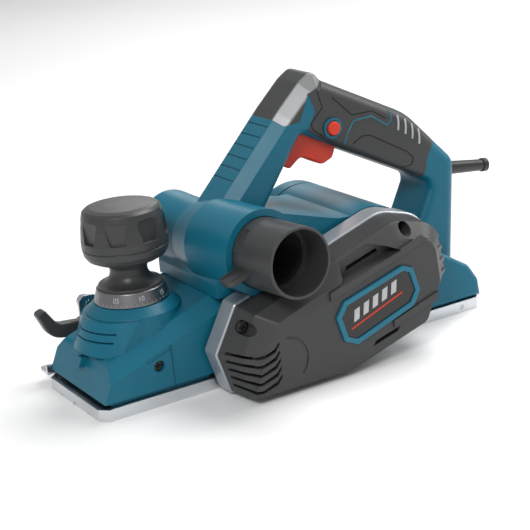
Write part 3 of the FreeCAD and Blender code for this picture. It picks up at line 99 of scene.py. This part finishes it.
def varied(tree, shader, place, low, high, scale):
    """Roughness that drifts between two values."""
    noise = add(tree, "ShaderNodeTexNoise", Scale=scale, Detail=4.0)
    span = tree.nodes.new("ShaderNodeMapRange")
    span.inputs["To Min"].default_value = low
    span.inputs["To Max"].default_value = high
    tree.links.new(place.outputs["Object"], noise.inputs["Vector"])
    tree.links.new(noise.outputs["Fac"], span.inputs["Value"])
    tree.links.new(span.outputs["Result"], shader.inputs["Roughness"])


def plastic(name, colour, second, rough, grain=0.10, coat=0.0, specular=0.5, scale=900.0):
    material, tree, shader = new_material(name)
    place, _ = tinted(tree, shader, colour, second, 35.0)
    grained(tree, shader, place, scale, grain, 0.0001)
    varied(tree, shader, place, rough - 0.04, rough + 0.05, 60.0)
    shader.inputs["Coat Weight"].default_value = coat
    shader.inputs["Coat Roughness"].default_value = 0.25
    shader.inputs["Specular IOR Level"].default_value = specular
    return material


def metal(name, colour, second, rough, stretch=None, grain=0.15, scale=700.0):
    material, tree, shader = new_material(name)
    place, _ = tinted(tree, shader, colour, second, 50.0)
    grained(tree, shader, place, scale, grain, 0.0001, stretch)
    varied(tree, shader, place, rough - 0.05, rough + 0.08, 80.0)
    shader.inputs["Metallic"].default_value = 1.0
    return material


def satin_paint(name, colour, second, rough):
    material, tree, shader = new_material(name)
    place, _ = tinted(tree, shader, colour, second, 60.0)
    grained(tree, shader, place, 2500.0, 0.12, 0.00005)
    varied(tree, shader, place, rough - 0.03, rough + 0.04, 90.0)
    shader.inputs["Metallic"].default_value = 0.55
    return material


MATERIALS = {
    "housing": plastic("blue_shell", (0.0035, 0.112, 0.178), (0.005, 0.130, 0.200), 0.36, 0.16, 0.0, 0.28),
    "cover": plastic("cover_grey", (0.034, 0.035, 0.036), (0.044, 0.045, 0.046), 0.40, 0.22, 0.0, 0.42),
    "rim": satin_paint("rim_silver", (0.36, 0.39, 0.42), (0.43, 0.46, 0.49), 0.34),
    "alloy": metal("machined_alloy", (0.62, 0.64, 0.66), (0.70, 0.72, 0.74), 0.32, (1.0, 12.0, 12.0)),
    "steel": metal("bright_steel", (0.50, 0.52, 0.55), (0.60, 0.62, 0.65), 0.26),
    "softgrip": plastic("soft_grip", (0.034, 0.035, 0.036), (0.043, 0.044, 0.045), 0.46, 0.30, 0.0, 0.42),
    "knobplastic": plastic("knob_grey", (0.032, 0.033, 0.034), (0.042, 0.043, 0.044), 0.36, 0.20, 0.0, 0.42),
    "dial": metal("brushed_dial", (0.16, 0.16, 0.17), (0.30, 0.30, 0.31), 0.34, (1.0, 1.0, 30.0)),
    "trim": satin_paint("cap_trim_silver", (0.22, 0.224, 0.228), (0.28, 0.284, 0.288), 0.42),
    "red": plastic("red_trigger", (0.58, 0.030, 0.008), (0.66, 0.042, 0.012), 0.33, 0.10, 0.0, 0.35),
    "badge": plastic("badge_black", (0.010, 0.009, 0.009), (0.016, 0.014, 0.014), 0.22, 0.05),
    "badgering": plastic("badge_blue", (0.006, 0.130, 0.205), (0.010, 0.155, 0.240), 0.30, 0.08, 0.0, 0.35),
    "belt": plastic("black_rubber", (0.016, 0.016, 0.017), (0.024, 0.024, 0.026), 0.34, 0.12),
    "copper": metal("copper_wire", (0.75, 0.32, 0.14), (0.85, 0.42, 0.20), 0.30),
    "carbon": plastic("carbon", (0.02, 0.02, 0.02), (0.035, 0.035, 0.035), 0.60, 0.30),
    "brass": metal("brass", (0.72, 0.52, 0.22), (0.80, 0.60, 0.28), 0.28),
    "fanplastic": plastic("fan_black", (0.03, 0.03, 0.03), (0.045, 0.045, 0.045), 0.45, 0.12),
}
BLACK_OXIDE = metal("black_oxide", (0.045, 0.045, 0.047), (0.07, 0.07, 0.073), 0.42)
# Pale grey: printed marks on the badge and dial, and a painted highlight along the grip ribs.
PALE_PRINT_AND_RIB_HIGHLIGHT = plastic("pale_print_and_rib_highlight", (0.42, 0.43, 0.44), (0.50, 0.51, 0.52), 0.40, 0.10)
SEAM = plastic("seam_shadow", (0.008, 0.008, 0.008), (0.012, 0.012, 0.012), 0.70, 0.10, 0.0, 0.2)
DARK_SCREWS = ("cover_screws", "toe_screws", "housing_screws")


def dress_cad():
    slots = {s["node"]: s["material_slot"] for s in frame["record"]["subparts"]}
    for name, node in NODES.items():
        material = BLACK_OXIDE if name in DARK_SCREWS else MATERIALS[slots[name]]
        if not node.material_slots:
            node.data.materials.append(material)
        for slot in node.material_slots:
            slot.material = material


# ------------------------------------------------------------ surface details
OUTSIDE_Y = -0.2                   # metres, clear of the near side, where the surface is looked for from
LINE_STEP = 1.2                    # between the points of an inlaid line
LINE_SINK = 0.125                  # share of an inlaid line's width that is under the surface

BODY_OF = {node: body for body, nodes in frame["record"]["behaviour"]["bodies"].items() for node in nodes}


def link_piece(obj, node, material):
    """Put a detail in the scene on the body that carries the node under it."""
    SCENE.collection.objects.link(obj)
    if not obj.data.materials:
        obj.data.materials.append(material)
    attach(obj, BODY_OF[node])
    return obj


def on_surface(node, x, z, sink=0.0):
    """Point of a node's near side at (x, z), in metres, found from outside along +Y."""
    start = Vector((x * MM, OUTSIDE_Y, z * MM))
    hit, place, normal, _ = NODES[node].ray_cast(start, Vector((0, 1, 0)))
    return place - normal * sink if hit else None


def spaced(route, step):
    points = []
    for (x0, z0), (x1, z1) in zip(route[:-1], route[1:]):
        count = max(1, int(math.hypot(x1 - x0, z1 - z0) / step))
        points += [(x0 + (x1 - x0) * i / count, z0 + (z1 - z0) * i / count) for i in range(count)]
    return points + [route[-1]]


def inlay(name, node, routes, width, material):
    """Fine round-backed lines lying in the surface of a node."""
    curve = bpy.data.curves.new(name, "CURVE")
    curve.dimensions = "3D"
    curve.bevel_depth = width / 2.0 * MM
    curve.bevel_resolution = 3
    curve.use_fill_caps = True
    for route in routes:
        places = [on_surface(node, x, z, LINE_SINK * width * MM) for x, z in spaced(route, LINE_STEP)]
        places = [p for p in places if p is not None]
        if len(places) < 2:
            continue
        spline = curve.splines.new("POLY")
        spline.points.add(len(places) - 1)
        for point, place in zip(spline.points, places):
            point.co = (*place, 1)
    return link_piece(bpy.data.objects.new(name, curve), node, material)


# Lines on the grip, as (x, z); each rib starts at its top.
STRIPE = [(56.5, 128.6), (59.3, 135.0), (64.9, 142.5), (78.6, 142.8), (90.3, 134.6), (93.3, 136.5),
          (94.9, 141.2), (93.9, 143.6)]
UPPER_PANEL = [(50.0, 160.5), (64.0, 146.5), (80.0, 146.2), (90.0, 139.0)]
LOWER_PANEL = [(62.9, 127.6), (70.6, 131.1), (76.5, 130.7), (105.0, 113.6), (109.6, 108.8), (108.0, 104.3),
               (100.1, 103.4)]
FRONT_PANEL = [(39.5, 166.5), (40.0, 163.4), (42.1, 155.6), (33.0, 147.0), (33.4, 143.2), (41.9, 136.4)]
RIB_TOPS = [(100.2, 139.0), (105.8, 135.4), (111.1, 131.2), (116.3, 126.6)]
RIB_DROP = (-1.2, -9.6)


def dress_grip():
    inlay("grip_stripe", "grip_left", [STRIPE], 1.1, MATERIALS["badgering"])
    inlay("grip_seams", "grip_left", [UPPER_PANEL, LOWER_PANEL, FRONT_PANEL], 0.7, SEAM)
    ribs = [[(x, z), (x + RIB_DROP[0], z + RIB_DROP[1])] for x, z in RIB_TOPS]
    # Raised ribs in pale grey on the dark grip: the ridges are real, the pale colour is a painted highlight
    # along each rib.
    inlay("grip_rib_highlights", "grip_left", ribs, 1.5, PALE_PRINT_AND_RIB_HIGHLIGHT)


def patch(mesh, outline, y, thick):
    """Thin flat plate on a plane facing -Y; outline in (x, z)."""
    front = [mesh.verts.new((x * MM, (y - thick) * MM, z * MM)) for x, z in outline]
    back = [mesh.verts.new((x * MM, y * MM, z * MM)) for x, z in outline]
    mesh.faces.new(front)
    mesh.faces.new(list(reversed(back)))
    for i in range(len(outline)):
        j = (i + 1) % len(outline)
        mesh.faces.new((front[j], front[i], back[i], back[j]))


def finish_mesh(mesh, name, node, material):
    bmesh.ops.recalc_face_normals(mesh, faces=mesh.faces)
    data = bpy.data.meshes.new(name)
    mesh.to_mesh(data)
    mesh.free()
    return link_piece(bpy.data.objects.new(name, data), node, material)


BADGE_START = (9.5, 30.5)          # lower end of the badge line, (x, z)
BADGE_ALONG = Vector((0.940, 0.341))
BADGE_RISE = Vector((-0.20, 0.98))
BADGE_LINE = (42.0, 1.1)           # length, height
BAR_COUNT = 5
BAR_FIRST = 3.0
BAR_PITCH = 7.6
BAR_WIDTH = 4.4
BAR_LEAN = 2.6                     # how far the top of a bar is beyond its foot
BAR_LOW = 3.6
BAR_HIGH = 10.6
MARK_SUNK = 0.05                   # depth of a mark's back under the badge's face
MARK_THICK = 0.2


def badge_point(along, rise):
    p = Vector(BADGE_START) + BADGE_ALONG * along + BADGE_RISE * rise
    return (p.x, p.y)


def dress_badge():
    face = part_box("badge_plate")[0][1] / MM
    line = bmesh.new()
    long, tall = BADGE_LINE
    corners = [badge_point(0, 0), badge_point(long, 0), badge_point(long, tall), badge_point(0, tall)]
    patch(line, corners, face + MARK_SUNK, MARK_THICK)
    finish_mesh(line, "badge_line", "badge_plate", MATERIALS["red"])
    bars = bmesh.new()
    for i in range(BAR_COUNT):
        left = BAR_FIRST + BAR_PITCH * i
        right = left + BAR_WIDTH
        corners = [badge_point(left, BAR_LOW), badge_point(right, BAR_LOW),
                   badge_point(right + BAR_LEAN, BAR_HIGH), badge_point(left + BAR_LEAN, BAR_HIGH)]
        patch(bars, corners, face + MARK_SUNK, MARK_THICK)
    finish_mesh(bars, "badge_bars", "badge_plate", PALE_PRINT_AND_RIB_HIGHLIGHT)


DIAL_STEP = math.radians(40.0)      # knob turn for half a millimetre of cut
TICK_STEP = math.radians(8.0)
TICK_COUNT = 31
TICKS_PER_NUMBER = 5
TICK_HALF_WIDTH = 0.16
LONG_TICK = 1.7
SHORT_TICK = 1.0
DIAL_LOW = (23.75, 60.2)            # (radius, z) of the foot and the top of the sloping dial face
DIAL_HIGH = (21.6, 67.4)
NUMBERS = ("0", "05", "10", "15", "20", "25", "30")
NUMBER_SIZE = 4.3
NUMBER_HALF_THICK = 0.06
NUMBER_RISE = 2.7                   # up the slope from the foot
TICK_RISE = 0.3


def dial_frame(angle, rise):
    """Place on the sloping dial face, and its axes: reading direction, up the slope, outward."""
    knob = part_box("depth_knob")
    centre = Vector(((knob[0][0] + knob[1][0]) / 2, (knob[0][1] + knob[1][1]) / 2, 0))
    outward = Vector((math.cos(angle), math.sin(angle), 0))
    across = Vector((-math.sin(angle), math.cos(angle), 0))
    slope = (outward * (DIAL_HIGH[0] - DIAL_LOW[0]) + Vector((0, 0, DIAL_HIGH[1] - DIAL_LOW[1]))).normalized()
    foot = centre + (outward * DIAL_LOW[0] + Vector((0, 0, DIAL_LOW[1]))) * MM + slope * rise * MM
    return foot, across, slope, across.cross(slope).normalized()


def dress_dial():
    marks = bmesh.new()
    for i in range(TICK_COUNT):
        foot, across, slope, normal = dial_frame(math.pi + TICK_STEP * i, TICK_RISE)
        tall = LONG_TICK if i % TICKS_PER_NUMBER == 0 else SHORT_TICK
        half = TICK_HALF_WIDTH
        corners = [foot + across * (a * MM) + slope * (b * MM) + normal * (c * MM)
                   for c in (-0.1, 0.08) for a, b in ((-half, 0), (half, 0), (half, tall), (-half, tall))]
        verts = [marks.verts.new(c) for c in corners]
        for ring in ((0, 1, 2, 3), (4, 5, 6, 7), (0, 1, 5, 4), (1, 2, 6, 5), (2, 3, 7, 6), (3, 0, 4, 7)):
            marks.faces.new([verts[k] for k in ring])
    for i, label in enumerate(NUMBERS):
        foot, across, slope, normal = dial_frame(math.pi + DIAL_STEP * i, NUMBER_RISE)
        text = bpy.data.curves.new("dial_number", "FONT")
        text.body = label
        text.size = NUMBER_SIZE * MM
        text.extrude = NUMBER_HALF_THICK * MM
        text.align_x = "CENTER"
        holder = bpy.data.objects.new("dial_number", text)
        shape = bpy.data.meshes.new_from_object(holder)
        turn = Matrix((across, slope, normal)).transposed().to_4x4()
        shape.transform(Matrix.Translation(foot + normal * NUMBER_HALF_THICK * MM) @ turn)
        marks.from_mesh(shape)
        bpy.data.objects.remove(holder)
        bpy.data.curves.remove(text)
        bpy.data.meshes.remove(shape)
    finish_mesh(marks, "dial_marks", "dial_ring", PALE_PRINT_AND_RIB_HIGHLIGHT)


# ------------------------------------------------------------ stage
def make_floor():
    bpy.ops.mesh.primitive_plane_add(size=14.0, location=(0, 0, 0))
    floor = bpy.context.object
    floor.name = "floor"
    material, tree, shader = new_material("pale_floor")
    place, _ = tinted(tree, shader, (0.86, 0.86, 0.86), (0.90, 0.90, 0.90), 3.0)
    varied(tree, shader, place, 0.55, 0.65, 5.0)
    floor.data.materials.append(material)


def make_world():
    world = bpy.data.worlds.new("studio")
    SCENE.world = world
    world.use_nodes = True
    background = world.node_tree.nodes["Background"]
    background.inputs["Color"].default_value = (1.0, 1.0, 1.0, 1)
    background.inputs["Strength"].default_value = 0.5
    SCENE.view_settings.view_transform = "Standard"


def area_light(name, place, aim, size, power, colour=(1, 1, 1)):
    data = bpy.data.lights.new(name, "AREA")
    data.shape = "RECTANGLE"
    data.size = size[0]
    data.size_y = size[1]
    data.energy = power
    data.color = colour
    light = bpy.data.objects.new(name, data)
    SCENE.collection.objects.link(light)
    light.location = place
    direction = Vector(aim) - Vector(place)
    light.rotation_euler = direction.to_track_quat("-Z", "Y").to_euler()


def make_lights():
    area_light("key", (-1.05, -1.10, 1.35), (0, 0, 0.07), (0.5, 0.5), 15.0)
    area_light("top", (0.75, 0.15, 1.5), (0, 0, 0.05), (0.9, 0.7), 19.0)
    area_light("right", (1.7, -0.1, 0.95), (0, 0, 0.07), (0.5, 0.8), 9.0)
    area_light("back", (0.9, 1.4, 0.9), (0, 0, 0.08), (0.8, 0.6), 3.0)


def make_camera():
    azimuth = math.radians(29.04)
    elevation = math.radians(17.825)
    roll = math.radians(-5.787)
    distance = 1.0207
    target = Vector((0.000218, 0.0, 0.05577))
    back = Vector((-math.sin(azimuth) * math.cos(elevation), -math.cos(azimuth) * math.cos(elevation),
                   math.sin(elevation)))
    level = Vector((math.cos(azimuth), -math.sin(azimuth), 0))
    rise = back.cross(level)
    right = level * math.cos(roll) + rise * math.sin(roll)
    up = rise * math.cos(roll) - level * math.sin(roll)
    data = bpy.data.cameras.new("camera")
    data.lens = 106.1
    data.sensor_width = 36.0
    camera = bpy.data.objects.new("camera", data)
    SCENE.collection.objects.link(camera)
    turn = Matrix((right, up, back)).transposed().to_4x4()
    camera.matrix_world = Matrix.Translation(target + back * distance) @ turn
    SCENE.camera = camera


dress_cad()
dress_grip()
dress_badge()
dress_dial()
make_floor()
make_world()
make_lights()
make_camera()
